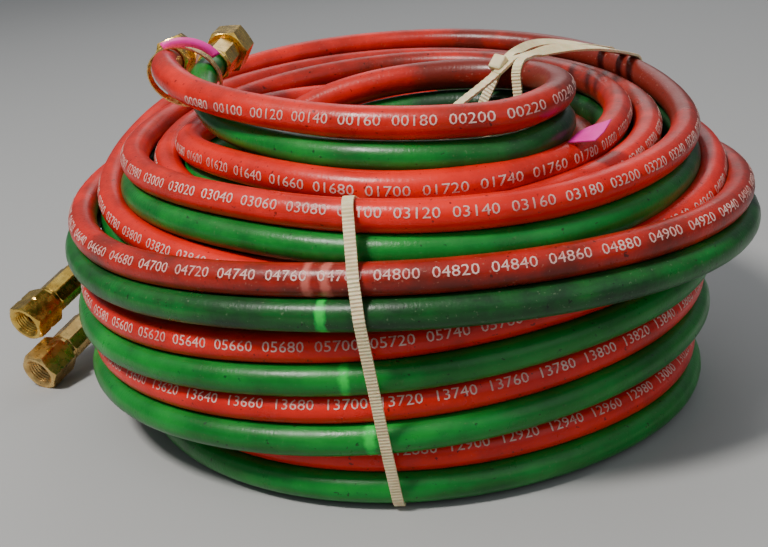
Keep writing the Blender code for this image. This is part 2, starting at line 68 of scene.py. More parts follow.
def place_camera():
    forward = Vector((math.sin(CAMERA_YAW) * math.cos(CAMERA_PITCH),
                      math.cos(CAMERA_YAW) * math.cos(CAMERA_PITCH), -math.sin(CAMERA_PITCH)))
    level = Vector((math.cos(CAMERA_YAW), -math.sin(CAMERA_YAW), 0.0))
    upright = level.cross(forward)
    right = level * math.cos(CAMERA_ROLL) + upright * math.sin(CAMERA_ROLL)
    top = upright * math.cos(CAMERA_ROLL) - level * math.sin(CAMERA_ROLL)
    lens = bpy.data.cameras.new("camera")
    lens.sensor_fit = "HORIZONTAL"
    lens.sensor_width = SENSOR
    lens.lens = FOCAL_PIXELS / PICTURE_WIDTH * SENSOR
    lens.clip_start = 0.01
    lens.clip_end = 50.0
    camera = bpy.data.objects.new("camera", lens)
    bpy.context.scene.collection.objects.link(camera)
    turn = Matrix((right, top, -forward)).transposed().to_4x4()
    camera.matrix_world = Matrix.Translation(CAMERA_PLACE + pile_axis) @ turn
    bpy.context.scene.camera = camera


place_camera()

# -------------------- the winding
# Each turn starts at the left of the pile and goes round by the front, the right and the
# back.  A row gives the red hose's radius and height (mm) at the ten stations below, how
# far the green hose stands out beyond the red one, and how firmly the turn keeps its place.
STATIONS = (180, 210, 240, 270, 300, 330, 360, 405, 450, 495)
FRONT_STATIONS = 7              # the others are at the back, out of sight
SEEN, HALF, HIDDEN = 1.0, 0.35, 0.06
TURNS = {
    "under_top": ((84, 83, 83, 86, 88, 88, 89, 89, 91, 95),
                  (112, 110, 108, 107, 109, 111, 113, 113, 110, 104), 1, HIDDEN),
    "second_loop": ((97, 91, 94, 105, 109, 98, 100, 108, 108, 112),
                    (124.5, 127, 126, 123, 124, 125, 127.5, 133, 136, 130), -2, SEEN),
    "squeezed": ((106, 100, 99, 111, 117, 109, 113.5, 119, 120, 122),
                 (118, 113, 109, 108, 118, 117, 121.5, 131, 137, 133), 1, HALF),
    "top_outer": ((122, 115.5, 112, 121, 129, 125.5, 130, 136, 134, 138),
                  (121.5, 121, 120, 116.5, 117, 118, 121, 137, 145, 139), 2, SEEN),
    "shoulder": ((137, 121, 117, 117, 124, 137, 138, 136, 138, 146),
                 (104, 97.5, 93, 91.5, 94, 99, 106, 116, 120, 114), 2, HALF),
    "loose": ((150.5, 140, 130, 132, 142, 152, 148, 140, 150, 156),
              (97, 93.5, 96, 99, 99, 98, 98.5, 99, 101, 88), 3.5, SEEN),
    "waist": ((149, 140, 129, 122.5, 121, 129, 135, 133, 130, 124),
              (66, 64.5, 68, 70.5, 73.5, 76, 77, 82, 84, 79), 3, SEEN),
    "lower": ((146.5, 138.5, 129.5, 124, 122.5, 127, 134, 134, 139, 139),
              (40, 40.5, 43, 45.5, 48.5, 50.5, 51, 52, 52, 52), 3, SEEN),
    "bottom": ((122, 118.5, 120, 120.5, 119.5, 126, 129, 129, 132, 142),
               (20, 20.3, 20.5, 20.5, 20.5, 20.5, 21, 23, 28, 35), 3, SEEN),
}
# turns that can't be seen: the level they lie in, how many hoses inside its outermost turn,
# and the azimuth from which they move on to the next turn's place
WINDING = (
    "under_top", ("loose", 3, 405), "second_loop", "squeezed", "top_outer", "shoulder",
    "loose", "waist", ("waist", 1, 495), ("waist", 2, 495), ("waist", 3, 450),
    ("lower", 3, 450), ("bottom", 4, 450), ("bottom", 3, 450), ("bottom", 2, 495),
    ("lower", 2, 405), ("lower", 1, 405), ("bottom", 1, 405), "bottom", "lower",
)
HIDDEN_BEND = 0.6               # how much of its level's outline a hidden turn follows
HIDDEN_PITCH = 0.0129           # from one hidden turn to the next one inward
HIDDEN_OUT = 0.001              # how far green stands out beyond red in them
PLANES = 60                     # radial planes in which the turns are laid against each other
ROUNDS = 240                    # rounds of laying
LAST_ROUNDS = 3                 # rounds that only even out the bends
PUSH = 0.6                      # share of an overlap that one round takes out
LEAST_PULL, HELD_PULL = 0.01, 0.05   # how hard a free and a held turn keep their planned place
LEAST_HOLD = 0.15               # what keeps even a free turn from giving way alone
FLOOR_HEIGHT = 0.0015           # the straps that the pile stands on
LEAVES_AT = 440.0               # azimuth at which the lower ends leave the last turn
JOINS_AT = 257.0                # azimuth at which the upper loop has come down to the pile


def turn_rows(number):
    """Red radius and height (m) at each station, green's stand-out, and how firmly held."""
    item = WINDING[number]
    if isinstance(item, str):
        radii, heights, out, hold = TURNS[item]
        at_back = len(STATIONS) - FRONT_STATIONS
        holds = [hold] * FRONT_STATIONS + [min(hold, HALF)] * at_back
        return np.array(radii) * MM, np.array(heights) * MM, out * MM, holds
    level, inward, leaves = item
    radii, heights = (np.array(row) * MM for row in TURNS[level][:2])
    radii = HIDDEN_BEND * radii + (1.0 - HIDDEN_BEND) * radii.mean() - HIDDEN_PITCH * inward
    next_radii, next_heights = turn_rows(number + 1)[:2]
    moved = np.array(STATIONS) > leaves
    radii = np.where(moved, next_radii[0], radii)
    heights = np.where(moved, next_heights[0], heights)
    return radii, heights, HIDDEN_OUT, [HIDDEN] * len(STATIONS)


def ease(places, values, at):
    """Smooth curve through values at uneven places."""
    slopes = np.gradient(values, places)
    index = np.clip(np.searchsorted(places, at, side="right") - 1, 0, len(places) - 2)
    span = places[index + 1] - places[index]
    share = (at - places[index]) / span
    square, cube = share ** 2, share ** 3
    return ((2 * cube - 3 * square + 1) * values[index]
            + (cube - 2 * square + share) * span * slopes[index]
            + (3 * square - 2 * cube) * values[index + 1]
            + (cube - square) * span * slopes[index + 1])


def planned_winding():
    """Azimuths, red and green places (radius, height) and holds, plane by plane."""
    places, radii, heights, outs, holds = [], [], [], [], []
    for number in range(len(WINDING)):
        turn_radii, turn_heights, out, turn_holds = turn_rows(number)
        places.extend(station + 360.0 * number for station in STATIONS)
        radii.extend(turn_radii)
        heights.extend(turn_heights)
        outs.extend([out] * len(STATIONS))
        holds.extend(turn_holds)
    places = np.array(places, float)
    azimuths = 180.0 + np.arange(PLANES * len(WINDING)) * 360.0 / PLANES
    red = np.stack([ease(places, np.array(radii), azimuths),
                    ease(places, np.array(heights), azimuths)], -1)
    out = np.interp(azimuths, places, outs)
    green = red + np.stack([out, -np.sqrt(HOSE_D ** 2 - out ** 2)], -1)
    return azimuths, np.stack([red, green]), np.interp(azimuths, places, holds)


def settle(pair, holds):
    """Lays the turns against each other so that no two share the same place."""
    turns = len(WINDING)
    plan = pair.copy()
    pull = (LEAST_PULL + HELD_PULL * holds)[None, :, None]
    looseness = (1.0 / (LEAST_HOLD + holds)).reshape(turns, PLANES).T
    looseness = np.concatenate([looseness, looseness], 1)
    share = looseness[:, :, None] / (looseness[:, :, None] + looseness[:, None, :])
    itself = np.arange(2 * turns)
    for _ in range(ROUNDS):
        discs = pair.reshape(2, turns, PLANES, 2).transpose(2, 0, 1, 3)
        discs = discs.reshape(PLANES, 2 * turns, 2)
        apart = discs[:, :, None, :] - discs[:, None, :, :]
        distance = np.sqrt((apart ** 2).sum(-1)) + 1e-9
        excess = np.clip(HOSE_D - distance, 0.0, None)
        excess[:, itself, itself] = 0.0
        push = apart / distance[..., None] * (excess * share)[..., None]
        discs = discs + PUSH * push.sum(2)
        pair = discs.reshape(PLANES, 2, turns, 2).transpose(1, 2, 0, 3).reshape(plan.shape)
        gap = pair[0] - pair[1]
        length = np.sqrt((gap ** 2).sum(-1))[:, None]
        slack = 0.5 * (length - HOSE_D) * gap / length
        pair = np.stack([pair[0] - slack, pair[1] + slack])
        pair[:, :, 1] = np.maximum(pair[:, :, 1], FLOOR_HEIGHT + HOSE_R)
        pair = even_out(pair, 0.5) + pull * (plan - pair)
    for _ in range(LAST_ROUNDS):
        pair = even_out(pair, 1.0)
    return pair


def even_out(pair, share):
    """Takes the sharpest bends out of the turns."""
    eased = pair.copy()
    eased[:, 1:-1] += share * (0.25 * (pair[:, :-2] + pair[:, 2:]) - 0.5 * pair[:, 1:-1])
    return eased


def around_axis(azimuths, rows):
    """Points in space from azimuths in degrees and rows of radius and height."""
    angle = np.radians(azimuths)
    return np.stack([rows[:, 0] * np.cos(angle), rows[:, 0] * np.sin(angle), rows[:, 1]], -1)


# -------------------- free stretches
# Where the cut end of each hose lies and which way its nut points, as in the model, and points
# listed along the free stretches, all about the pile's axis and in metres.
UPPER_ENDS = {"red": (-0.1047, 0.0325, 0.1580), "green": (-0.0827, 0.0415, 0.1570)}
UPPER_AIMS = {"red": (-0.08, 0.99, -0.06), "green": (0.10, 0.985, 0.10)}
LOWER_ENDS = {"red": (-0.1890, 0.0391, 0.0365), "green": (-0.1815, 0.0249, 0.0148)}
LOWER_AIM = (-0.43, -0.86, -0.27)
TOP_ROUTES = {
    "red": (
        (-0.0985, -0.0165, 0.1585), (-0.0855, -0.0375, 0.1538), (-0.0640, -0.0600, 0.1505),
        (-0.0350, -0.0800, 0.1475), (-0.0110, -0.0920, 0.1463), (0.0190, -0.0970, 0.1454),
        (0.0430, -0.0930, 0.1452), (0.0610, -0.0770, 0.1471), (0.0670, -0.0540, 0.1480),
        (0.0605, -0.0340, 0.1484), (0.0450, -0.0210, 0.1488), (0.0210, -0.0155, 0.1490),
        (-0.0050, -0.0165, 0.1475), (-0.0240, -0.0180, 0.1440), (-0.0390, -0.0210, 0.1390),
        (-0.0510, -0.0275, 0.1330), (-0.0560, -0.0445, 0.1255), (-0.0510, -0.0620, 0.1180),
        (-0.0385, -0.0750, 0.1120),
    ),
    "green": (
        (-0.0860, -0.0085, 0.1495), (-0.0770, -0.0330, 0.1410), (-0.0600, -0.0560, 0.1365),
        (-0.0350, -0.0790, 0.1338), (-0.0110, -0.0920, 0.1331), (0.0190, -0.0970, 0.1322),
        (0.0430, -0.0930, 0.1320), (0.0610, -0.0770, 0.1339), (0.0670, -0.0540, 0.1350),
        (0.0605, -0.0340, 0.1354), (0.0450, -0.0210, 0.1357), (0.0210, -0.0155, 0.1358),
        (-0.0050, -0.0165, 0.1341), (-0.0240, -0.0183, 0.1303), (-0.0390, -0.0215, 0.1258),
        (-0.0508, -0.0280, 0.1200), (-0.0560, -0.0448, 0.1126), (-0.0512, -0.0622, 0.1052),
        (-0.0392, -0.0760, 0.0993),
    ),
}
TAIL_ROUTES = {
    "red": (
        (-0.1700, 0.0880, 0.0485), (-0.1545, 0.1100, 0.0535), (-0.1290, 0.1260, 0.0565),
        (-0.0980, 0.1355, 0.0570), (-0.0660, 0.1395, 0.0553), (-0.0350, 0.1410, 0.0535),
        (-0.0050, 0.1400, 0.0525),
    ),
    "green": (
        (-0.1640, 0.0780, 0.0265), (-0.1520, 0.1010, 0.0310), (-0.1290, 0.1235, 0.0345),
        (-0.0985, 0.1355, 0.0370), (-0.0670, 0.1410, 0.0385), (-0.0350, 0.1440, 0.0395),
        (-0.0050, 0.1430, 0.0395),
    ),
}
HOSE_START = 0.0205             # the hose's own end lies this deep in its ferrule
SQUARE_END = 0.0370             # up to here the hose follows its fitting's axis
HOSE_STEP = 0.0062              # spacing of the finished hose's rings
DENSE = 12                      # fine points for each written one
COLOURS = ("red", "green")


def behind(cut_face, aim, distance):
    """The point so far back from a hose's cut end, along its fitting's axis."""
    direction = Vector(aim).normalized()
    return np.array(Vector(cut_face) - direction * distance)


def whole_route():
    """Red and green centre lines from the upper to the lower fittings, point by point."""
    azimuths, plan, holds = planned_winding()
    settled = settle(plan, holds)
    last = 360.0 * (len(WINDING) - 1) + LEAVES_AT
    kept = (azimuths >= JOINS_AT) & (azimuths <= last)
    lines = []
    for colour, rows in zip(COLOURS, settled):
        upper = [behind(UPPER_ENDS[colour], UPPER_AIMS[colour], HOSE_START),
                 behind(UPPER_ENDS[colour], UPPER_AIMS[colour], SQUARE_END)]
        lower = [behind(LOWER_ENDS[colour], LOWER_AIM, SQUARE_END),
                 behind(LOWER_ENDS[colour], LOWER_AIM, HOSE_START)]
        wound = around_axis(azimuths[kept], rows[kept])
        lines.append(np.concatenate([
            upper, TOP_ROUTES[colour], wound, TAIL_ROUTES[colour][::-1], lower,
        ]))
    return np.stack(lines)


def run_along(line):
    """Length travelled from a line's first point to each of its points."""
    steps = np.linalg.norm(np.diff(line, axis=0), axis=1)
    return np.concatenate([[0.0], np.cumsum(steps)])


def fine_route(lines):
    """The same route as even, closely spaced points, red and green kept abreast."""
    middle = lines.mean(0)
    chord = np.sqrt(np.linalg.norm(np.diff(middle, axis=0), axis=1))
    knots = np.concatenate([[0.0], np.cumsum(chord)])
    dense_at = np.linspace(0.0, knots[-1], DENSE * len(knots))
    dense = np.stack([np.stack([ease(knots, line[:, axis], dense_at) for axis in range(3)], -1)
                      for line in lines])
    travelled = run_along(dense.mean(0))
    even_at = np.linspace(0.0, travelled[-1], int(travelled[-1] / HOSE_STEP) + 1)
    return np.stack([[np.interp(even_at, travelled, line[:, axis]) for axis in range(3)]
                     for line in dense]).transpose(0, 2, 1)


# -------------------- hoses
HOSE_SIDES = 24
LOWER_ENDS_AT = 528.0           # azimuth of the lower fittings, counted on in the last turn


def unit(vectors):
    """Vectors of length one."""
    return vectors / np.linalg.norm(vectors, axis=-1, keepdims=True)


def hose_frames(route, partner_side):
    """Outward and towards-the-partner directions at each ring of a hose."""
    along = unit(np.gradient(route, axis=0))
    side = unit(partner_side - along * (partner_side * along).sum(-1, keepdims=True))
    return np.cross(along, side), side


# how dirty the hoses are, plus painted shade on the upper turns' right side, away from the
# key light: turn, azimuth, share; the upper loop counts as turn 0
GRIME_AND_SHADE = (
    (0, 190, 0.50), (0, 240, 0.32), (0, 290, 0.50), (0, 315, 1.05), (0, 335, 1.00),
    (1, 450, 0.30), (2, 180, 0.30), (2, 270, 0.22), (2, 330, 0.45), (2, 405, 1.00),
    (2, 450, 0.70), (3, 180, 0.40), (3, 270, 0.22), (3, 330, 0.35), (3, 390, 1.15),
    (3, 450, 0.60), (4, 180, 0.50), (4, 240, 0.38), (4, 270, 0.28), (4, 310, 0.10),
    (4, 335, 0.60), (4, 360, 1.15), (4, 405, 1.10), (4, 450, 0.50), (5, 180, 0.40),
    (5, 210, 0.20), (5, 300, 0.15), (5, 360, 0.40), (5, 450, 0.60), (6, 180, 0.55),
    (6, 225, 0.66), (6, 270, 0.85), (6, 300, 0.75), (6, 330, 0.66), (6, 360, 0.90),
    (6, 405, 0.60), (7, 180, 0.35), (7, 270, 0.18), (7, 360, 0.30), (8, 180, 0.20),
    (18, 180, 0.15), (18, 360, 0.25), (19, 270, 0.14), (19, 360, 0.28), (19, 480, 0.45),
)


def swept_angle(route):
    """Azimuth that the hose has swept about the pile's axis, in degrees from turn 0 on."""
    beside = route - np.array(pile_axis)
    swept = np.degrees(np.unwrap(np.arctan2(beside[:, 1], beside[:, 0])))
    ends_at = 360.0 * (len(WINDING) - 1) + LOWER_ENDS_AT
    return swept + 360.0 * round((ends_at - swept[-1]) / 360.0)


def build_hose(colour, route, out, side, material):
    """A mesh tube along the route, with a UV map: metres along it and its way round."""
    rings = len(route)
    angles = np.arange(HOSE_SIDES) * math.tau / HOSE_SIDES
    spokes = (np.cos(angles)[None, :, None] * out[:, None, :]
              + np.sin(angles)[None, :, None] * side[:, None, :])
    points = (route[:, None, :] + HOSE_R * spokes).reshape(-1, 3)
    points = np.concatenate([points, route[[0, -1]]])
    start_pole, end_pole = rings * HOSE_SIDES, rings * HOSE_SIDES + 1
    travelled = run_along(route)
    faces, corners = [], []
    for ring in range(rings - 1):
        base, ahead = ring * HOSE_SIDES, (ring + 1) * HOSE_SIDES
        near, far = travelled[ring], travelled[ring + 1]
        for step in range(HOSE_SIDES):
            after = (step + 1) % HOSE_SIDES
            low, high = step / HOSE_SIDES, (step + 1) / HOSE_SIDES
            faces.append((base + step, base + after, ahead + after, ahead + step))
            corners.extend(((near, low), (near, high), (far, high), (far, low)))
    for pole, base, end in ((start_pole, 0, 0.0),
                            (end_pole, (rings - 1) * HOSE_SIDES, travelled[-1])):
        for step in range(HOSE_SIDES):
            first, second = base + step, base + (step + 1) % HOSE_SIDES
            faces.append((pole, second, first) if pole == start_pole else (pole, first, second))
            corners.extend(((end, step / HOSE_SIDES),) * 3)
    mesh = bpy.data.meshes.new(f"{colour}_hose")
    mesh.from_pydata(points.tolist(), [], faces)
    layer = mesh.uv_layers.new(name="hose_map")
    layer.data.foreach_set("uv", np.array(corners, np.float32).ravel())
    # grime and painted shade along each turn, from the table above
    places, shares = zip(*((360.0 * turn + azimuth, share) for turn, azimuth, share in GRIME_AND_SHADE))
    dirt_and_shade = np.interp(swept_angle(route), places, shares)
    dirt_and_shade = np.concatenate([np.repeat(dirt_and_shade, HOSE_SIDES), dirt_and_shade[[0, -1]]])
    mesh.attributes.new("grime_and_shade", "FLOAT", "POINT").data.foreach_set(
        "value", dirt_and_shade.astype(np.float32))
    mesh.shade_smooth()
    mesh.materials.append(material)
    hose = bpy.data.objects.new(f"{colour}_hose", mesh)
    bpy.context.scene.collection.objects.link(hose)
    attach(hose, "root")
    row_names = [f"{colour}_coil_row_{row}" for row in range(1, 6)]
    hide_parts(*row_names, f"{colour}_loose_turn", f"{colour}_top_loop", f"{colour}_tail",
                f"upper_{colour}_hose_end", f"lower_{colour}_hose_end")


# -------------------- finishes
RAGGED = 0.0040                 # how far a kink mark's edges wander along the hose
MARK_FADES, MARK_ENDS = 0.0009, 0.0024   # from a kink mark's middle


def new_material(name):
    """A material, its node tree and its shader."""
    material = bpy.data.materials.new(name)
    material.use_nodes = True
    return material, material.node_tree, material.node_tree.nodes["Principled BSDF"]


def add_node(tree, kind, **values):
    """A node with the named inputs or settings given."""
    node = tree.nodes.new(kind)
    for name, value in values.items():
        if name in node.inputs:
            node.inputs[name].default_value = value
        else:
            setattr(node, name, value)
    return node


def texture_place(tree, kind="Object"):
    """Where on its object a point lies."""
    return tree.nodes.new("ShaderNodeTexCoord").outputs[kind]


def stretched(tree, vector, along, around):
    """A hose's UV scaled along it and around it."""
    node = add_node(tree, "ShaderNodeMapping", Scale=(along, around, 1.0))
    tree.links.new(vector, node.inputs["Vector"])
    return node.outputs[0]


def noise(tree, vector, scale, detail=3.0, roughness=0.55):
    """Cloudy pattern from 0 to 1."""
    node = add_node(tree, "ShaderNodeTexNoise", Scale=scale, Detail=detail, Roughness=roughness)
    tree.links.new(vector, node.inputs["Vector"])
    return node.outputs["Fac"]


def ramp(tree, factor, *stops):
    """Colours that follow a factor; stops are (place, colour) pairs."""
    node = tree.nodes.new("ShaderNodeValToRGB")
    elements = node.color_ramp.elements
    while len(elements) < len(stops):
        elements.new(0.5)
    for element, (place, colour) in zip(elements, stops):
        element.position = place
        element.color = (*colour, 1.0)
    tree.links.new(factor, node.inputs["Fac"])
    return node.outputs["Color"]


def feed(tree, socket, value):
    """Links another node's output to a socket, or sets the socket to a value or a colour."""
    if isinstance(value, bpy.types.NodeSocket):
        tree.links.new(value, socket)
    elif isinstance(value, tuple):
        socket.default_value = (*value, 1.0)
    else:
        socket.default_value = value


def blend_colours(tree, factor, first, second):
    """The first colour where factor is 0, the second where it is 1."""
    node = add_node(tree, "ShaderNodeMix", data_type="RGBA")
    for number, value in ((0, factor), (6, first), (7, second)):
        feed(tree, node.inputs[number], value)
    return node.outputs[2]


def math_node(tree, operation, first, second=0.0):
    """A sum or product of two values, or the like."""
    node = add_node(tree, "ShaderNodeMath", operation=operation)
    feed(tree, node.inputs[0], first)
    feed(tree, node.inputs[1], second)
    return node.outputs[0]


def roughen(tree, shader, relief, strength, distance):
    """Relief too fine to model."""
    bump = add_node(tree, "ShaderNodeBump", Strength=strength, Distance=distance)
    tree.links.new(relief, bump.inputs["Height"])
    tree.links.new(bump.outputs[0], shader.inputs["Normal"])


def grey(level):
    """A neutral colour."""
    return (level, level, level)


def rubber(name, deep, bright, worn, dust, marks=(), mark_colour=(1.0, 1.0, 1.0),
           mark_share=0.8):
    """Extruded rubber cover: wrap marks, grime and painted shade, dust, and pale marks where it
    was kinked.
    """
    material, tree, shader = new_material(name)
    place = texture_place(tree)
    along = add_node(tree, "ShaderNodeUVMap", uv_map="hose_map").outputs["UV"]
    grime_and_shade = add_node(tree, "ShaderNodeAttribute", attribute_name="grime_and_shade").outputs["Fac"]
    tone = noise(tree, place, 26.0, 5.0, 0.6)
    colour = ramp(tree, tone, (0.34, deep), (0.62, bright))
    # grime and painted shade lie in patches with fine broken edges
    broken = math_node(tree, "SUBTRACT", noise(tree, place, 38.0, 8.0, 0.68), 0.5)
    streaks = stretched(tree, along, 26.0, 5.0)
    streaky = math_node(tree, "SUBTRACT", noise(tree, streaks, 1.0, 5.0, 0.6), 0.5)
    reach = math_node(tree, "ADD", grime_and_shade, math_node(tree, "MULTIPLY", broken, 1.5))
    reach = math_node(tree, "ADD", reach, math_node(tree, "MULTIPLY", streaky, 0.7))
    dirt_and_shade_mask = ramp(tree, reach, (0.22, grey(0.0)), (0.95, grey(0.92)))
    # the worn colour stands for grime, and for painted shade where the turns face away from the
    # key light
    colour = blend_colours(tree, dirt_and_shade_mask, colour, worn)
    specks = ramp(tree, noise(tree, place, 750.0, 2.0), (0.66, grey(0.0)), (0.71, grey(1.0)))
    specks = math_node(tree, "MULTIPLY", specks, 0.45)
    specks = math_node(tree, "MULTIPLY", specks, math_node(tree, "ADD", grime_and_shade, 0.15))
    colour = blend_colours(tree, specks, colour, dust)
    pits = ramp(tree, noise(tree, place, 420.0, 3.0), (0.67, grey(0.0)), (0.70, grey(0.75)))
    colour = blend_colours(tree, pits, colour, tuple(0.25 * part for part in worn))
    apart = tree.nodes.new("ShaderNodeSeparateXYZ")
    tree.links.new(along, apart.inputs[0])
    ragged = math_node(tree, "MULTIPLY", noise(tree, place, 240.0, 4.0), RAGGED)
    travelled = math_node(tree, "ADD", apart.outputs["X"], ragged)
    for mark in marks:
        middle = mark + 0.5 * RAGGED
        away = math_node(tree, "ABSOLUTE", math_node(tree, "SUBTRACT", travelled, middle))
        band = add_node(tree, "ShaderNodeMapRange")
        for socket, value in (("From Min", MARK_FADES), ("From Max", MARK_ENDS),
                              ("To Min", mark_share), ("To Max", 0.0)):
            band.inputs[socket].default_value = value
        tree.links.new(away, band.inputs["Value"])
        colour = blend_colours(tree, band.outputs[0], colour, mark_colour)
    tree.links.new(colour, shader.inputs["Base Color"])
    dullness = ramp(tree, noise(tree, place, 60.0, 5.0), (0.30, grey(0.26)), (0.70, grey(0.42)))
    tree.links.new(dullness, shader.inputs["Roughness"])
    shader.inputs["Specular IOR Level"].default_value = 0.34
    # the wrap that the hose was cured in left fine marks across it
    wrap = noise(tree, stretched(tree, along, 900.0, 9.0), 1.0, 2.0)
    grain = noise(tree, place, 700.0, 3.0)
    relief = math_node(tree, "ADD", math_node(tree, "MULTIPLY", wrap, 0.9), grain)
    roughen(tree, shader, relief, 0.22, 0.0004)
    return material


def brass(name, light, dark, roughness):
    """Machined brass with darker clouds and small stains."""
    material, tree, shader = new_material(name)
    place = texture_place(tree)
    colour = ramp(tree, noise(tree, place, 130.0, 6.0, 0.65), (0.32, dark), (0.60, light))
    stains = ramp(tree, noise(tree, place, 420.0, 4.0), (0.60, grey(0.0)), (0.72, grey(1.0)))
    colour = blend_colours(tree, math_node(tree, "MULTIPLY", stains, 0.55), colour,
                           tuple(0.35 * part for part in dark))
    tree.links.new(colour, shader.inputs["Base Color"])
    shader.inputs["Metallic"].default_value = 1.0
    dullness = ramp(tree, noise(tree, place, 300.0, 4.0),
                    (0.30, grey(roughness - 0.07)), (0.72, grey(roughness + 0.13)))
    tree.links.new(dullness, shader.inputs["Roughness"])
    roughen(tree, shader, noise(tree, place, 520.0, 5.0), 0.12, 0.0003)
    return material


def ink(name, fresh, gone):
    """Worn print: the hose shows through where it has rubbed off."""
    material, tree, shader = new_material(name)
    place = texture_place(tree)
    rubbed = ramp(tree, noise(tree, place, 420.0, 5.0, 0.7), (0.46, grey(0.0)), (0.66, grey(0.8)))
    faint = ramp(tree, noise(tree, place, 30.0, 3.0), (0.35, grey(0.10)), (0.70, grey(0.60)))
    worn = math_node(tree, "MAXIMUM", rubbed, faint)
    tree.links.new(blend_colours(tree, worn, fresh, gone), shader.inputs["Base Color"])
    shader.inputs["Roughness"].default_value = 0.6
    return material


def plain_plastic(name, light, dark, roughness, soft=0.0):
    """Nylon or tape: slightly uneven in colour, with a fine grain."""
    material, tree, shader = new_material(name)
    place = texture_place(tree)
    colour = ramp(tree, noise(tree, place, 150.0, 5.0), (0.30, dark), (0.65, light))
    tree.links.new(colour, shader.inputs["Base Color"])
    shader.inputs["Roughness"].default_value = roughness
    shader.inputs["Subsurface Weight"].default_value = soft
    shader.inputs["Subsurface Scale"].default_value = 0.0015
    roughen(tree, shader, noise(tree, place, 600.0, 3.0), 0.15, 0.0003)
    return material


# -------------------- the hoses' course and finish
route = fine_route(whole_route()) + np.array(pile_axis)
toward_red = route[0] - route[1]
travelled = [run_along(line) for line in route]
swept = [swept_angle(line) for line in route]


def place_on_turn(number, turn, azimuth):
    """Length travelled along the red (0) or green (1) hose to an azimuth of a turn."""
    return float(np.interp(360.0 * turn + azimuth, swept[number], travelled[number]))


# turn and azimuth of the places where the hoses were once kinked
pinches = [place_on_turn(0, 6, azimuth) for azimuth in (255.3, 258.4)]
kinks = [place_on_turn(1, turn, azimuth)
         for turn, azimuth in ((6, 257.4), (7, 259.1), (19, 262.6))]

# each rubber's worn colour also serves as painted shade on the turns' right side
red_rubber = rubber("red_rubber", (0.50, 0.007, 0.003), (0.72, 0.012, 0.004),
                    (0.110, 0.014, 0.008), (0.36, 0.16, 0.11), pinches, (0.80, 0.22, 0.17), 0.45)
green_rubber = rubber("green_rubber", (0.003, 0.110, 0.012), (0.006, 0.215, 0.024),
                      (0.006, 0.026, 0.009), (0.14, 0.19, 0.11), kinks, (0.01, 0.52, 0.06), 0.85)
bright_brass = brass("bright_brass", (0.92, 0.62, 0.14), (0.62, 0.37, 0.07), 0.22)
dull_brass = brass("dull_brass", (0.88, 0.60, 0.22), (0.60, 0.37, 0.13), 0.27)
natural_nylon = plain_plastic("natural_nylon", (0.78, 0.66, 0.40), (0.62, 0.50, 0.28), 0.36, 0.3)
pink_tape = plain_plastic("pink_tape", (0.80, 0.010, 0.36), (0.66, 0.008, 0.27), 0.50)
print_ink = ink("print_ink", (0.70, 0.52, 0.46), (0.42, 0.03, 0.02))

# pieces that are shown as they are in the model, or stand behind the made ones
for node_name, node in nodes.items():
    if node_name.endswith(("ferrule", "nipple", "nut")):
        coat = dull_brass if "lower_green" in node_name else bright_brass
    elif "tie" in node_name:
        coat = natural_nylon
    elif node_name == "hose_band":
        coat = dull_brass
    elif node_name in ("pink_tape", "tape_tag"):
        coat = pink_tape
    else:
        continue
    node.data.materials.clear()
    node.data.materials.append(coat)


# -------------------- where the straps go
STRAP_GAP = 0.0001              # between a strap and the hoses that it is pulled round
STRAP_STEP = 0.0007             # one rib or one groove
ROUND_STEPS = 24


def line_crossings(lines, start, heading):
    """Where the hoses cross an upright plane: distance along its heading, and height."""
    across = np.array((-heading[1], heading[0]))
    found = []
    for line in lines:
        beside = (line[:, :2] - start) @ across
        for index in np.nonzero(beside[:-1] * beside[1:] < 0.0)[0]:
            share = beside[index] / (beside[index] - beside[index + 1])
            point = line[index] + share * (line[index + 1] - line[index])
            found.append(((point[:2] - start) @ heading, point[2]))
    return np.array(found)


def tight_outline(centres, reach):
    """The line of a strap pulled tight round discs of one size, as a closed polygon."""
    turns = np.arange(ROUND_STEPS) * math.tau / ROUND_STEPS
    rim = reach * np.stack([np.cos(turns), np.sin(turns)], -1)
    points = sorted(map(tuple, (centres[:, None] + rim[None]).reshape(-1, 2)))

    def half(ordered):
        kept = []
        for point in ordered:
            while len(kept) > 1:
                (ax, ay), (bx, by) = kept[-2:]
                if (bx - ax) * (point[1] - ay) - (by - ay) * (point[0] - ax) > 0.0:
                    break
                kept.pop()
            kept.append(point)
        return kept[:-1]

    return np.array(half(points) + half(points[::-1]))


def even_steps(polygon, first, step):
    """Points one step apart round a polygon, from its corner nearest to first and back."""
    begin = int(np.argmin(np.linalg.norm(polygon - np.array(first), axis=1)))
    ring = np.concatenate([polygon[begin:], polygon[:begin + 1]])
    run = np.concatenate([[0.0], np.cumsum(np.linalg.norm(np.diff(ring, axis=0), axis=1))])
    places = np.linspace(0.0, run[-1], int(run[-1] / step) + 1)
    return np.stack([np.interp(places, run, ring[:, axis]) for axis in (0, 1)], -1)


# -------------------- made pieces
def start_piece():
    """Leaves nothing selected that a piece's operators could change."""
    bpy.ops.object.select_all(action="DESELECT")


def finish_piece(piece, name, body, slot, coat, *replaced):
    """Names a made piece, coats it, and says what it rides on and stands for."""
    piece.name = piece.data.name = name
    piece.data.materials.clear()
    piece.data.materials.append(coat)
    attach(piece, body)
    if replaced:
        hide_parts(*replaced)


def world_points(node):
    return np.array([tuple(node.matrix_world @ vertex.co) for vertex in node.data.vertices])


def read_points(piece):
    points = np.empty(len(piece.data.vertices) * 3)
    piece.data.vertices.foreach_get("co", points)
    return points.reshape(-1, 3)


def move_points(piece, points):
    piece.data.vertices.foreach_set("co", points.ravel())
    piece.data.update()


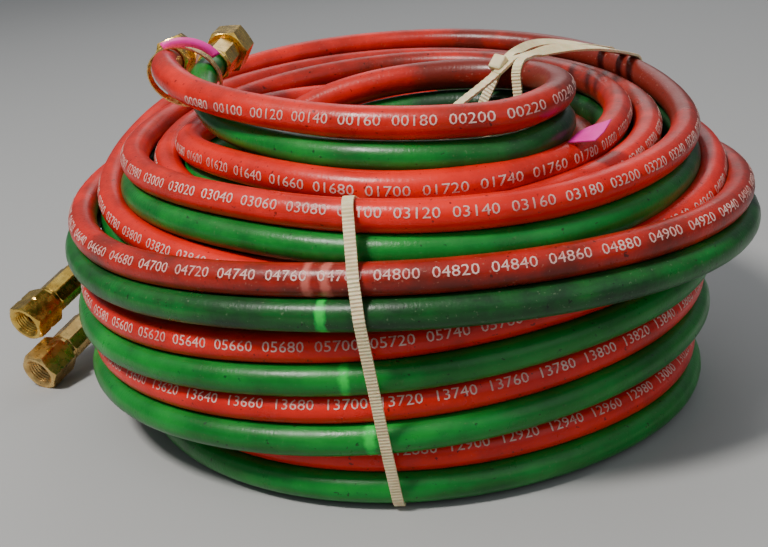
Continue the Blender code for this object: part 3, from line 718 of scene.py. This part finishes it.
def face_outwards(piece):
    start_piece()
    piece.select_set(True)
    bpy.context.view_layer.objects.active = piece
    bpy.ops.object.mode_set(mode="EDIT")
    bpy.ops.mesh.select_all(action="SELECT")
    bpy.ops.mesh.normals_make_consistent(inside=False)
    bpy.ops.object.mode_set(mode="OBJECT")


def join_pieces(pieces):
    start_piece()
    for piece in pieces:
        piece.select_set(True)
    bpy.context.view_layer.objects.active = pieces[0]
    bpy.ops.object.join()
    return pieces[0]


def flat_strip(steps):
    """A grid one unit long and wide, thickened by one unit: length X, width Y, height Z."""
    start_piece()
    bpy.ops.mesh.primitive_grid_add(x_subdivisions=steps, y_subdivisions=1, size=1.0)
    strip = bpy.context.object
    bpy.ops.object.mode_set(mode="EDIT")
    bpy.ops.mesh.select_all(action="SELECT")
    bpy.ops.mesh.extrude_region_move(TRANSFORM_OT_translate={"value": (0.0, 0.0, 1.0)})
    bpy.ops.object.mode_set(mode="OBJECT")
    return strip


# -------------------- nylon ties
STRAP_WIDTH = 0.0042
STRAP_THICK = 0.00105
RIB_HEIGHT = 0.00028
HEAD_SIZE = (0.0068, 0.0062, 0.0050)
HEAD_BEVEL = 0.0009
HEAD_LIFT = 0.42                # share of its height that a head's middle stands off the strap
HEAD_CLEAR = 4                  # steps that a head keeps from the strap's two ends
FRONT_AZIMUTH = math.radians(-95.0)
FRONT_ENDS = (0.070, 0.060)     # distance out and height of the place where its ends meet
FRONT_INNER = 0.050             # the front tie holds the hoses from here outward
FRONT_UNDER_TOP = (0.107, 0.100)   # but none that lies both further in and higher
FRONT_SLANT = (0.0034, -0.088)  # to the right at the floor, and less so further up
# The back ties go over the rear of the upper loop.  Each has its start and heading about the
# pile's axis, how far it bows to the left on the loop, how its inner side hangs off its own
# plane, and the place (along, up) of its head.
BACK_TIES = (
    ((0.050, -0.0225), (0.062, 0.098), 0.011, (-0.009, 0.002, 0.0), (-0.0085, 0.1535)),
    ((0.0565, -0.0275), (0.064, 0.092), 0.009, (0.001, -0.002, 0.0), (0.0095, 0.0885)),
    ((0.0535, -0.0250), (0.067, 0.084), 0.001, (-0.030, -0.014, 0.0), (0.0095, 0.0885)),
)
BACK_ENDS = (-0.006, 0.150)
BACK_INNER = -0.012
BACK_LIFT = 0.0045              # how far a back tie stands off the hoses between two of them
BACK_LEAN = math.radians(38.0)  # how far it lies over on its side there


def share_of(value, low, high):
    """0 below low, 1 above high, and a smooth way between."""
    share = np.clip((value - low) / (high - low), 0.0, 1.0)
    return share * share * (3.0 - 2.0 * share)


def build_strap(name, lines, start, heading, goes_round, begins, sway, head_at, lean=None):
    """A ribbed strap round all hoses that pass the test, swayed off that line, with a head."""
    start = np.array(start)
    heading = np.array(heading) / np.linalg.norm(heading)
    centres = line_crossings(lines, start, heading)
    centres = np.array([centre for centre in centres if goes_round(*centre)])
    outline = tight_outline(centres, HOSE_R + STRAP_GAP)
    run = even_steps(outline, begins, STRAP_STEP)
    swayed = np.array([sway(*point) for point in run])
    middle = np.concatenate([start + run[:, :1] * heading, run[:, 1:]], axis=1)
    middle += swayed + np.array(pile_axis)
    across = np.array((-heading[1], heading[0], 0.0))
    along = unit(np.gradient(middle, axis=0))
    outward = unit(np.cross(across, along))
    across = np.cross(along, outward)
    if lean is not None:
        tilt = np.array([lean(*point) for point in run])[:, None]
        across, outward = (across * np.cos(tilt) + outward * np.sin(tilt),
                           outward * np.cos(tilt) - across * np.sin(tilt))
    steps = len(middle) - 1
    strap = flat_strip(steps)
    points = read_points(strap)
    ring = np.rint((points[:, 0] + 0.5) * steps).astype(int)
    thick = STRAP_THICK + RIB_HEIGHT * (ring % 2)
    move_points(strap, middle[ring] + points[:, 1:2] * STRAP_WIDTH * across[ring]
                + (points[:, 2] * thick)[:, None] * outward[ring])
    face_outwards(strap)
    # ratchet head, on the strap's outer face
    seat = int(np.argmin(np.linalg.norm(run - np.array(head_at), axis=1)))
    seat = min(max(seat, HEAD_CLEAR), steps - HEAD_CLEAR)
    start_piece()
    bpy.ops.mesh.primitive_cube_add(size=1.0)
    head = bpy.context.object
    bpy.ops.object.mode_set(mode="EDIT")
    bpy.ops.mesh.select_all(action="SELECT")
    bpy.ops.transform.resize(value=HEAD_SIZE)
    bpy.ops.mesh.bevel(offset=HEAD_BEVEL, segments=2)
    bpy.ops.object.mode_set(mode="OBJECT")
    local = read_points(head)
    origin = middle[seat] + outward[seat] * HEAD_LIFT * HEAD_SIZE[2]
    move_points(head, origin + local[:, :1] * along[seat] + local[:, 1:2] * across[seat]
                + local[:, 2:] * outward[seat])
    face_outwards(head)
    strap = join_pieces([strap, head])
    strap.data.shade_flat()
    finish_piece(strap, f"{name}_strap", "root", "nylon", natural_nylon, name)


def arch(out, reach):
    """0 at both ends of a reach, 1 in its middle."""
    return math.sin(math.pi * min(max(out / reach, 0.0), 1.0))


def front_holds(out, height):
    return out > FRONT_INNER and not (height > FRONT_UNDER_TOP[1] and out < FRONT_UNDER_TOP[0])


def front_sway(out, height):
    aside = FRONT_SLANT[0] + FRONT_SLANT[1] * height
    return np.array((aside, 0.0, 0.0)) * share_of(out, 0.09, 0.12)


def back_lean(out, height):
    return (BACK_LEAN * share_of(height, 0.138, 0.150)
            * share_of(out, 0.004, 0.022) * (1.0 - share_of(out, 0.090, 0.108)))


def build_straps(lines):
    build_strap("front_tie", lines, (0.0, 0.0), (math.cos(FRONT_AZIMUTH), math.sin(FRONT_AZIMUTH)),
                front_holds, FRONT_ENDS, front_sway, FRONT_ENDS)
    for number, (start, heading, bow, inner, head_at) in enumerate(BACK_TIES, 1):
        left = np.array((-heading[1], heading[0], 0.0)) / np.hypot(*heading)

        def back_sway(out, height, left=left, bow=bow, inner=np.array(inner)):
            on_top = share_of(height, 0.100, 0.135)
            hangs = share_of(0.157 - height, 0.0, 0.026) * share_of(0.025 - out, 0.0, 0.02)
            hangs *= share_of(height, 0.01, 0.06)
            lifted = BACK_LIFT * arch(out, 0.115) * on_top
            return (left * bow * arch(out, 0.125) * on_top + inner * hangs
                    + np.array((0.0, 0.0, lifted)))

        build_strap(f"back_tie_{number}", lines, start, heading,
                    lambda out, height: out > BACK_INNER, BACK_ENDS, back_sway, head_at, back_lean)


# -------------------- band, tape and tag
TAPE_DEPTH = 0.0042             # how far the folded tape stands out from the band
TAPE_THICK = 0.0005
TAPE_SUNK = 0.0004              # how far its fold lies inside the band's outer face
TAPE_MORE, TAPE_LESS = 0.05, 0.25   # radians more and less than the model's, at its two ends
TAPE_STEPS = 24
TAG_THICK = 0.0004
# about the pile's axis, from its tip under the upper loop to the end that stands up
TAG_CORNERS = (
    (0.0661, -0.0826, 0.1310), (0.0716, -0.0760, 0.1335), (0.0760, -0.0753, 0.1350),
    (0.0831, -0.0812, 0.1385), (0.0792, -0.0877, 0.1355), (0.0749, -0.0929, 0.1335),
)


def build_tag():
    """A tag of tape, lying on the top turns with one end standing up."""
    start_piece()
    bpy.ops.mesh.primitive_circle_add(vertices=len(TAG_CORNERS), fill_type="TRIFAN")
    tag = bpy.context.object
    points = read_points(tag)
    corners = np.array(TAG_CORNERS) + np.array(pile_axis)
    rim = np.linalg.norm(points, axis=1) > 0.5
    order = np.argsort(np.arctan2(points[rim, 0], points[rim, 1]))
    placed = np.empty((rim.sum(), 3))
    placed[order] = corners
    points[rim] = placed
    points[~rim] = corners.mean(axis=0)
    move_points(tag, points)
    thicken = tag.modifiers.new("sheet", "SOLIDIFY")
    thicken.thickness = TAG_THICK
    bpy.ops.object.modifier_apply(modifier="sheet")
    face_outwards(tag)
    tag.data.shade_flat()
    finish_piece(tag, "tape_flag", "root", "pink_tape", pink_tape, "tape_tag")


def build_tape():
    """Bright tape folded over the band, standing out from it towards the viewer's side."""
    ring = world_points(nodes["hose_band"])
    middle = 0.5 * (ring.min(axis=0) + ring.max(axis=0))
    axes = np.linalg.svd(ring - middle, full_matrices=False)[2]
    normal = axes[2] if axes[2][1] < 0.0 else -axes[2]
    taped = world_points(nodes["pink_tape"]) - middle
    right = unit(np.cross((0.0, 0.0, 1.0), -normal))
    rise = np.cross(normal, right)
    if rise[2] < 0.0:
        rise = -rise
    angles = np.arctan2(taped @ rise, taped @ right)
    low, high = angles.min() - TAPE_MORE, angles.max() - TAPE_LESS
    flat = np.abs(np.stack([(ring - middle) @ right, (ring - middle) @ rise], -1))
    long_half, short_half = flat.max(axis=0)
    strip = flat_strip(TAPE_STEPS)
    points = read_points(strip)
    places = low + (points[:, 0] + 0.5) * (high - low)
    reach = 1.0 / np.hypot(np.cos(places) / long_half, np.sin(places) / short_half)
    reach = reach - TAPE_SUNK + (points[:, 1] + 0.5) * TAPE_DEPTH
    depth = (points[:, 2] - 0.5) * TAPE_THICK
    move_points(strip, middle + (reach * np.cos(places))[:, None] * right
                + (reach * np.sin(places))[:, None] * rise + depth[:, None] * normal)
    face_outwards(strip)
    strip.data.shade_smooth()
    finish_piece(strip, "folded_tape", "root", "pink_tape", pink_tape, "pink_tape")


# -------------------- swivel nuts
NUT_AF = 0.01905                # across flats
NUT_LONG = 0.018
NUT_CORNER = 0.5 * NUT_AF / math.cos(math.radians(30.0))
MOUTH_R = 0.0071                # the thread's bore
MOUTH_FLARE = 0.0007            # how far its edge is opened
NUT_WALL = 0.0042               # back wall that the nipple turns in
NUT_RIM_IN = 0.0002             # how far the chamfers run in past the flats
NUT_CHAMFER = 0.0016
SHANK_HOLE_R = 0.0049
GROOVE_RING_R, GROOVE_R = 0.01190, 0.00155   # the round groove of a left-hand nut
THREAD_PITCH = 0.0014
THREAD_RINGS = 6
THREAD_R = 0.00052
THREAD_START = 0.0006           # from the flare's foot to the first thread
CUT_SPARE = 0.0006              # how far a cutter reaches past what it cuts
SMOOTH_UP_TO = math.radians(28.0)


def turned_block(sides, radius, low, high, low_end=None, high_end=None):
    """A cylinder from low to high along Z, with narrower or wider stubs (radius, z) if given."""
    start_piece()
    bpy.ops.mesh.primitive_cylinder_add(vertices=sides, radius=radius, depth=high - low,
                                        location=(0.0, 0.0, 0.5 * (low + high)))
    block = bpy.context.object
    bpy.ops.object.transform_apply(location=True, rotation=False, scale=False)
    for end, level, facing in ((low_end, low, -1.0), (high_end, high, 1.0)):
        if end is None:
            continue
        bpy.context.tool_settings.mesh_select_mode = (False, False, True)
        bpy.ops.object.mode_set(mode="EDIT")
        bpy.ops.mesh.select_all(action="DESELECT")
        bpy.ops.object.mode_set(mode="OBJECT")
        for polygon in block.data.polygons:
            polygon.select = polygon.normal.z * facing > 0.9
        bpy.ops.object.mode_set(mode="EDIT")
        bpy.ops.mesh.extrude_region_move(
            TRANSFORM_OT_translate={"value": (0.0, 0.0, end[1] - level)})
        bpy.ops.transform.resize(value=(end[0] / radius, end[0] / radius, 1.0))
        bpy.ops.object.mode_set(mode="OBJECT")
    return block


def carve(piece, cutter, way="DIFFERENCE"):
    """Cuts one piece with another, which is used up."""
    start_piece()
    piece.select_set(True)
    bpy.context.view_layer.objects.active = piece
    cut = piece.modifiers.new("cut", "BOOLEAN")
    cut.operation = way
    cut.object = cutter
    bpy.ops.object.modifier_apply(modifier="cut")
    bpy.data.objects.remove(cutter)


def build_nut(end, colour, aim, coat):
    """Hexagon nut with chamfered ends, an open threaded mouth and, for red, a cut groove."""
    name = f"{end}_{colour}_nut"
    points = world_points(nodes[name])
    along = np.array(Vector(aim).normalized())
    right = unit(np.cross(along, (0.3, 0.2, 1.0)))   # any way across will do
    rise = np.cross(along, right)
    flat = np.stack([points @ right, points @ rise, points @ along], -1)
    middle = 0.5 * (flat.min(axis=0) + flat.max(axis=0))
    spread = flat[:, :2] - middle[:2]
    corner = spread[np.argmax(np.linalg.norm(spread, axis=1))]
    turn = math.atan2(corner[1], corner[0])
    half = 0.5 * NUT_LONG
    nut = turned_block(6, NUT_CORNER, -half, half)
    # a new hexagon's first corner stands on Y
    nut.data.transform(Matrix.Rotation(turn - math.radians(90.0), 4, "Z"))
    rim = 0.5 * NUT_AF - NUT_RIM_IN
    shoulder = half - NUT_CHAMFER
    carve(nut, turned_block(48, NUT_CORNER + CUT_SPARE, -shoulder, shoulder,
                            (rim, -half), (rim, half)), "INTERSECT")
    carve(nut, turned_block(40, MOUTH_R, NUT_WALL - half, half - MOUTH_FLARE, None,
                            (MOUTH_R + MOUTH_FLARE + CUT_SPARE, half + CUT_SPARE)))
    carve(nut, turned_block(32, SHANK_HOLE_R, -half - CUT_SPARE, NUT_WALL - half + CUT_SPARE))
    if colour == "red":
        start_piece()
        bpy.ops.mesh.primitive_torus_add(major_segments=48, minor_segments=8,
                                         major_radius=GROOVE_RING_R, minor_radius=GROOVE_R)
        carve(nut, bpy.context.object)
    rings = [nut]
    first_thread = half - MOUTH_FLARE - THREAD_START
    for number in range(THREAD_RINGS):
        start_piece()
        bpy.ops.mesh.primitive_torus_add(
            major_segments=32, minor_segments=4, major_radius=MOUTH_R, minor_radius=THREAD_R,
            location=(0.0, 0.0, first_thread - THREAD_PITCH * number))
        bpy.ops.object.transform_apply(location=True, rotation=False, scale=False)
        rings.append(bpy.context.object)
    nut = join_pieces(rings)
    placed = Matrix((right, rise, along)).transposed().to_4x4()
    centre = middle[0] * right + middle[1] * rise + middle[2] * along
    nut.data.transform(Matrix.Translation(centre.tolist()) @ placed)
    bpy.ops.object.shade_smooth_by_angle(angle=SMOOTH_UP_TO)
    finish_piece(nut, f"{end}_{colour}_swivel", name, "brass", coat, name)


def build_nuts():
    for colour in COLOURS:
        build_nut("upper", colour, UPPER_AIMS[colour], bright_brass)
        build_nut("lower", colour, LOWER_AIM, dull_brass if colour == "green" else bright_brass)


# -------------------- print on the red hose
PRINT_SIZE = 0.0058             # size of the type, whose figures are PRINT_HEIGHT tall
PRINT_HEIGHT = 0.0040
PRINT_CUTS = (0.25, 0.5, 0.75)  # where the figures are cut across, so that they bend
PRINT_THICK = 0.00006
PRINT_LIFT = 0.00006            # from the hose's surface
NUMBER_SPACING = 0.020          # from one printed length to the next
NUMBER_GAP = 0.005              # left free behind a stretch's last number
BARE_END = 0.060                # hose without print behind a fitting and at the loop's foot
TURNED_UP = 20.0                # degrees that the print lies above the hose's outer side


def printed_row(begins, ends, turned, out, side):
    """Lengths in millimetres along one stretch of the red hose, wrapped round it."""
    first = int(begins / NUMBER_SPACING) + 1
    count = int((ends - begins) / NUMBER_SPACING) - 1
    step = round(NUMBER_SPACING / MM)
    start_piece()
    bpy.ops.object.text_add()
    words = bpy.context.object
    words.data.body = "  ".join(f"{(first + place) * step:05d}" for place in range(count))
    words.data.size = PRINT_SIZE
    words.data.extrude = 0.5 * PRINT_THICK
    words.data.resolution_u = 2
    bpy.ops.object.convert(target="MESH")
    bpy.ops.object.mode_set(mode="EDIT")
    for cut in PRINT_CUTS:
        bpy.ops.mesh.select_all(action="SELECT")
        bpy.ops.mesh.bisect(plane_co=(0.0, cut * PRINT_HEIGHT, 0.0), plane_no=(0.0, 1.0, 0.0))
    bpy.ops.object.mode_set(mode="OBJECT")
    points = read_points(words)
    where = begins + points[:, 0] * (count * NUMBER_SPACING - NUMBER_GAP) / np.ptp(points[:, 0])
    centre, outward, sideways = (
        np.stack([np.interp(where, travelled[0], values[:, axis]) for axis in range(3)], -1)
        for values in (route[0], out, side))
    angle = math.radians(turned) + (points[:, 1] - 0.5 * PRINT_HEIGHT) / HOSE_R
    reach = HOSE_R + PRINT_LIFT + points[:, 2]
    move_points(words, centre + (reach * np.cos(angle))[:, None] * outward
                + (reach * np.sin(angle))[:, None] * sideways)
    return words


def print_lengths(name, *stretches):
    """Printed rows on the red hose; each stretch begins, ends and is turned up by degrees."""
    out, side = hose_frames(route[0], toward_red)
    rows = [printed_row(*stretch, out, side) for stretch in stretches]
    finish_piece(join_pieces(rows), name, "root", "red_rubber", print_ink)


# -------------------- the pieces, one after another
for colour, line, coat in zip(COLOURS, route, (red_rubber, green_rubber)):
    build_hose(colour, line, *hose_frames(line, toward_red), coat)

loop_foot = place_on_turn(0, 0, JOINS_AT)
turn_starts = {turn: place_on_turn(0, turn, 180) for turn in (2, 5, 7, 8, 18, 19)}
print_lengths("upper_print", (BARE_END, loop_foot - BARE_END, TURNED_UP),
              (turn_starts[2], turn_starts[5], TURNED_UP))
print_lengths("lower_print", (turn_starts[5], turn_starts[7], TURNED_UP),
              (turn_starts[7], turn_starts[8], 8.0), (turn_starts[18], turn_starts[19], 32.0),
              (turn_starts[19], travelled[0][-1] - BARE_END, TURNED_UP))
build_straps(route - np.array(pile_axis))
build_tape()
build_tag()
build_nuts()


# -------------------- studio
FLOOR_GREY = 0.33
LIT_PLACE = Vector((0.0, 0.0, 0.07))
# name, place, size, power and colour
LIGHTS = (
    ("key", (-0.75, -0.65, 1.6), 0.30, 42.0, (1.0, 0.97, 0.92)),
    ("fill", (1.4, -1.6, 1.2), 1.8, 7.0, (0.92, 0.96, 1.0)),
    ("back", (0.3, 1.6, 1.4), 1.4, 8.0, (1.0, 1.0, 1.0)),
)
# the room's light from below the floor up to overhead
ROOM_COLOURS = ((0.0, (0.16, 0.17, 0.19)), (0.25, (0.30, 0.32, 0.35)), (0.85, (0.95, 0.98, 1.00)))
ROOM_STRENGTH = 0.55


def build_floor():
    start_piece()
    bpy.ops.mesh.primitive_plane_add(size=6.0, location=(0.0, 0.0, 0.0))
    floor = bpy.context.object
    floor.name = "floor"
    material, _, shader = new_material("floor")
    shader.inputs["Base Color"].default_value = (*grey(FLOOR_GREY), 1.0)
    shader.inputs["Roughness"].default_value = 0.85
    floor.data.materials.append(material)


def place_light(name, place, size, power, colour):
    light = bpy.data.lights.new(name, "AREA")
    light.size = size
    light.energy = power
    light.color = colour
    lamp = bpy.data.objects.new(name, light)
    bpy.context.scene.collection.objects.link(lamp)
    aim = (LIT_PLACE - Vector(place)).to_track_quat("-Z", "Y")
    lamp.matrix_world = Matrix.Translation(place) @ aim.to_matrix().to_4x4()


def light_room():
    world = bpy.data.worlds.new("studio")
    world.use_nodes = True
    tree = world.node_tree
    place = texture_place(tree, "Generated")
    apart = tree.nodes.new("ShaderNodeSeparateXYZ")
    tree.links.new(place, apart.inputs[0])
    sky = ramp(tree, apart.outputs["Z"], *ROOM_COLOURS)
    tree.links.new(sky, tree.nodes["Background"].inputs["Color"])
    tree.nodes["Background"].inputs["Strength"].default_value = ROOM_STRENGTH
    bpy.context.scene.world = world


build_floor()
for light in LIGHTS:
    place_light(*light)
light_room()
